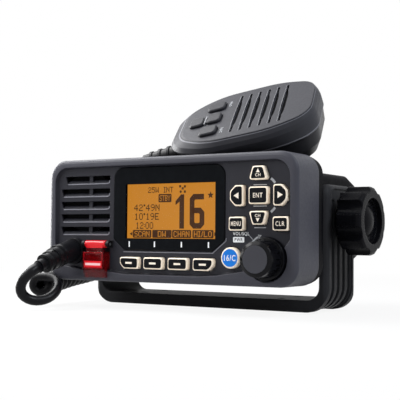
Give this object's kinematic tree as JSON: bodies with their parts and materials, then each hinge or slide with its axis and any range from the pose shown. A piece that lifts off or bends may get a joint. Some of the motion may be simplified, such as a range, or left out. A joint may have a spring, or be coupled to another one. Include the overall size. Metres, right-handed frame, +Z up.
{
  "type": "marine radio",
  "caption": "Fixed-mount marine radio in a U bracket with hand clamp knobs, amber display, keys, rotary dial, louvred loudspeaker, flip-cover distress button and fist microphone on a curly cord",
  "frame": {"origin": "middle of the bracket's underside, on the surface it is bolted to", "axes": "+X to the right along the front panel, +Y from the front panel to the rear, +Z up from the mounting surface"},
  "size_m": [0.1897, 0.1639, 0.1265],
  "materials": {
    "bezel": "fine-textured",
    "bracket": "satin",
    "gasket": "matt",
    "chassis": "satin black paint",
    "screws": "plain",
    "lens": "clear, glossy",
    "lcd": "backlit amber",
    "lcd_frame": "matt",
    "board": "solder mask",
    "shield": "tinned",
    "module": "moulded",
    "speaker_metal": "satin",
    "speaker_cone": "paper",
    "magnet": "plated",
    "cloth": "woven",
    "mat": "matt",
    "key": "cream with a black top",
    "encoder": "plain",
    "shaft": "turned",
    "dial": "glossy",
    "gland": "satin",
    "socket": "nickel-plated",
    "insert": "machined",
    "washer": "matt",
    "knob": "satin",
    "cover": "clear red",
    "distress": "glossy red",
    "mic_shell": "satin",
    "mic_trim": "satin",
    "stud": "plain",
    "capsule": "plain",
    "cord": "satin"
  },
  "bodies": {
    "bracket": {"bracket": "bracket"},
    "radio": {"front_panel": "bezel", "panel_gasket": "gasket", "chassis": "chassis", "chassis_screws": "screws", "display_lens": "lens", "lcd_panel": "lcd", "lcd_frame": "lcd_frame", "front_board": "board", "main_board": "board", "rf_shield": "shield", "power_module": "module", "speaker_cloth": "cloth", "speaker_frame": "speaker_metal", "speaker_cone": "speaker_cone", "speaker_magnet": "magnet", "key_mat": "mat", "encoder": "encoder", "cord_gland": "gland", "antenna_socket": "socket", "lead_grommet": "gland", "clamp_inserts": "insert", "clamp_washers": "washer", "distress_hinge_pin": "screws", "cord_tail_radio": "cord", "cord_coil": "cord"},
    "mic": {"mic_front_shell": "mic_shell", "mic_rear_shell": "mic_shell", "mic_screws": "screws", "mic_hanger_stud": "stud", "mic_boot": "gland", "mic_board": "board", "mic_capsule": "capsule", "cord_tail_mic": "cord"},
    "clamp_right": {"clamp_knob_right": "knob", "clamp_bolt_right": "screws"},
    "clamp_left": {"clamp_knob_left": "knob", "clamp_bolt_left": "screws"},
    "dial_shaft": {"dial_shaft": "shaft"},
    "dial_knob": {"dial_knob": "dial"},
    "distress_cover": {"distress_cover": "cover"},
    "distress_button": {"distress_button": "distress"},
    "mic_ptt": {"mic_ptt": "mic_trim"},
    "key_up": {"key_up": "key"},
    "key_down": {"key_down": "key"},
    "key_left": {"key_left": "key"},
    "key_right": {"key_right": "key"},
    "key_enter": {"key_enter": "key"},
    "key_menu": {"key_menu": "key"},
    "key_clear": {"key_clear": "key"},
    "key_channel": {"key_channel": "key"},
    "soft_key_1": {"soft_key_1": "key"},
    "soft_key_2": {"soft_key_2": "key"},
    "soft_key_3": {"soft_key_3": "key"},
    "soft_key_4": {"soft_key_4": "key"},
    "mic_key_power": {"mic_key_power": "mic_trim"},
    "mic_key_up": {"mic_key_up": "mic_trim"},
    "mic_key_down": {"mic_key_down": "mic_trim"},
    "mic_key_channel": {"mic_key_channel": "mic_trim"}
  },
  "joints": [
    {"name": "radio_tilt", "type": "hinge", "parent": "bracket", "child": "radio", "pos_m": [0, 0, 0.0478], "axis": [1, 0, 0], "range_deg": [-30, 10]},
    {"name": "clamp_right_turn", "type": "hinge", "parent": "radio", "child": "clamp_right", "pos_m": [0, 0, 0.0478], "axis": [1, 0, 0], "range_deg": [0, 540]},
    {"name": "clamp_left_turn", "type": "hinge", "parent": "radio", "child": "clamp_left", "pos_m": [0, 0, 0.0478], "axis": [-1, 0, 0], "range_deg": [0, 540]},
    {"name": "dial_push", "type": "slide", "parent": "radio", "child": "dial_shaft", "axis": [0, 1, 0], "range_m": [0, 0.0008], "stiffness_N_per_m": 2500, "springref_m": -0.0006},
    {"name": "dial_turn", "type": "hinge", "parent": "dial_shaft", "child": "dial_knob", "pos_m": [0.0612, -0.06, 0.0283], "axis": [0, 1, 0], "continuous": true},
    {"name": "distress_cover_flip", "type": "hinge", "parent": "radio", "child": "distress_cover", "pos_m": [-0.0433, -0.058, 0.0346], "axis": [-1, 0, 0], "range_deg": [0, 100], "stiffness_Nm_per_rad": 0.003, "springref_deg": -22.92},
    {"name": "distress_button_press", "type": "slide", "parent": "radio", "child": "distress_button", "axis": [0, 1, 0], "range_m": [0, 0.001], "stiffness_N_per_m": 1500, "springref_m": -0.0006},
    {"name": "mic_lift", "type": "slide", "parent": "radio", "child": "mic", "axis": [0, 0, 1], "range_m": [0, 0.05]},
    {"name": "mic_ptt_press", "type": "slide", "parent": "mic", "child": "mic_ptt", "axis": [0.2575, -0.7741, -0.5783], "range_m": [0, 0.0015], "stiffness_N_per_m": 1500, "springref_m": -0.0008},
    {"name": "key_up_press", "type": "slide", "parent": "radio", "child": "key_up", "axis": [0, 1, 0], "range_m": [0, 0.0008], "stiffness_N_per_m": 1500, "springref_m": -0.0006},
    {"name": "key_down_press", "type": "slide", "parent": "radio", "child": "key_down", "axis": [0, 1, 0], "range_m": [0, 0.0008], "stiffness_N_per_m": 1500, "springref_m": -0.0006},
    {"name": "key_left_press", "type": "slide", "parent": "radio", "child": "key_left", "axis": [0, 1, 0], "range_m": [0, 0.0008], "stiffness_N_per_m": 1500, "springref_m": -0.0006},
    {"name": "key_right_press", "type": "slide", "parent": "radio", "child": "key_right", "axis": [0, 1, 0], "range_m": [0, 0.0008], "stiffness_N_per_m": 1500, "springref_m": -0.0006},
    {"name": "key_enter_press", "type": "slide", "parent": "radio", "child": "key_enter", "axis": [0, 1, 0], "range_m": [0, 0.0008], "stiffness_N_per_m": 1500, "springref_m": -0.0006},
    {"name": "key_menu_press", "type": "slide", "parent": "radio", "child": "key_menu", "axis": [0, 1, 0], "range_m": [0, 0.0008], "stiffness_N_per_m": 1500, "springref_m": -0.0006},
    {"name": "key_clear_press", "type": "slide", "parent": "radio", "child": "key_clear", "axis": [0, 1, 0], "range_m": [0, 0.0008], "stiffness_N_per_m": 1500, "springref_m": -0.0006},
    {"name": "key_channel_press", "type": "slide", "parent": "radio", "child": "key_channel", "axis": [0, 1, 0], "range_m": [0, 0.0008], "stiffness_N_per_m": 1500, "springref_m": -0.0006},
    {"name": "soft_key_1_press", "type": "slide", "parent": "radio", "child": "soft_key_1", "axis": [0, 1, 0], "range_m": [0, 0.0008], "stiffness_N_per_m": 1500, "springref_m": -0.0006},
    {"name": "soft_key_2_press", "type": "slide", "parent": "radio", "child": "soft_key_2", "axis": [0, 1, 0], "range_m": [0, 0.0008], "stiffness_N_per_m": 1500, "springref_m": -0.0006},
    {"name": "soft_key_3_press", "type": "slide", "parent": "radio", "child": "soft_key_3", "axis": [0, 1, 0], "range_m": [0, 0.0008], "stiffness_N_per_m": 1500, "springref_m": -0.0006},
    {"name": "soft_key_4_press", "type": "slide", "parent": "radio", "child": "soft_key_4", "axis": [0, 1, 0], "range_m": [0, 0.0008], "stiffness_N_per_m": 1500, "springref_m": -0.0006},
    {"name": "mic_key_power_press", "type": "slide", "parent": "mic", "child": "mic_key_power", "axis": [0.0298, 0.6046, -0.796], "range_m": [0, 0.0007], "stiffness_N_per_m": 1500, "springref_m": -0.0006},
    {"name": "mic_key_up_press", "type": "slide", "parent": "mic", "child": "mic_key_up", "axis": [0.0298, 0.6046, -0.796], "range_m": [0, 0.0007], "stiffness_N_per_m": 1500, "springref_m": -0.0006},
    {"name": "mic_key_down_press", "type": "slide", "parent": "mic", "child": "mic_key_down", "axis": [0.0298, 0.6046, -0.796], "range_m": [0, 0.0007], "stiffness_N_per_m": 1500, "springref_m": -0.0006},
    {"name": "mic_key_channel_press", "type": "slide", "parent": "mic", "child": "mic_key_channel", "axis": [0.0298, 0.6046, -0.796], "range_m": [0, 0.0007], "stiffness_N_per_m": 1500, "springref_m": -0.0006}
  ]
}
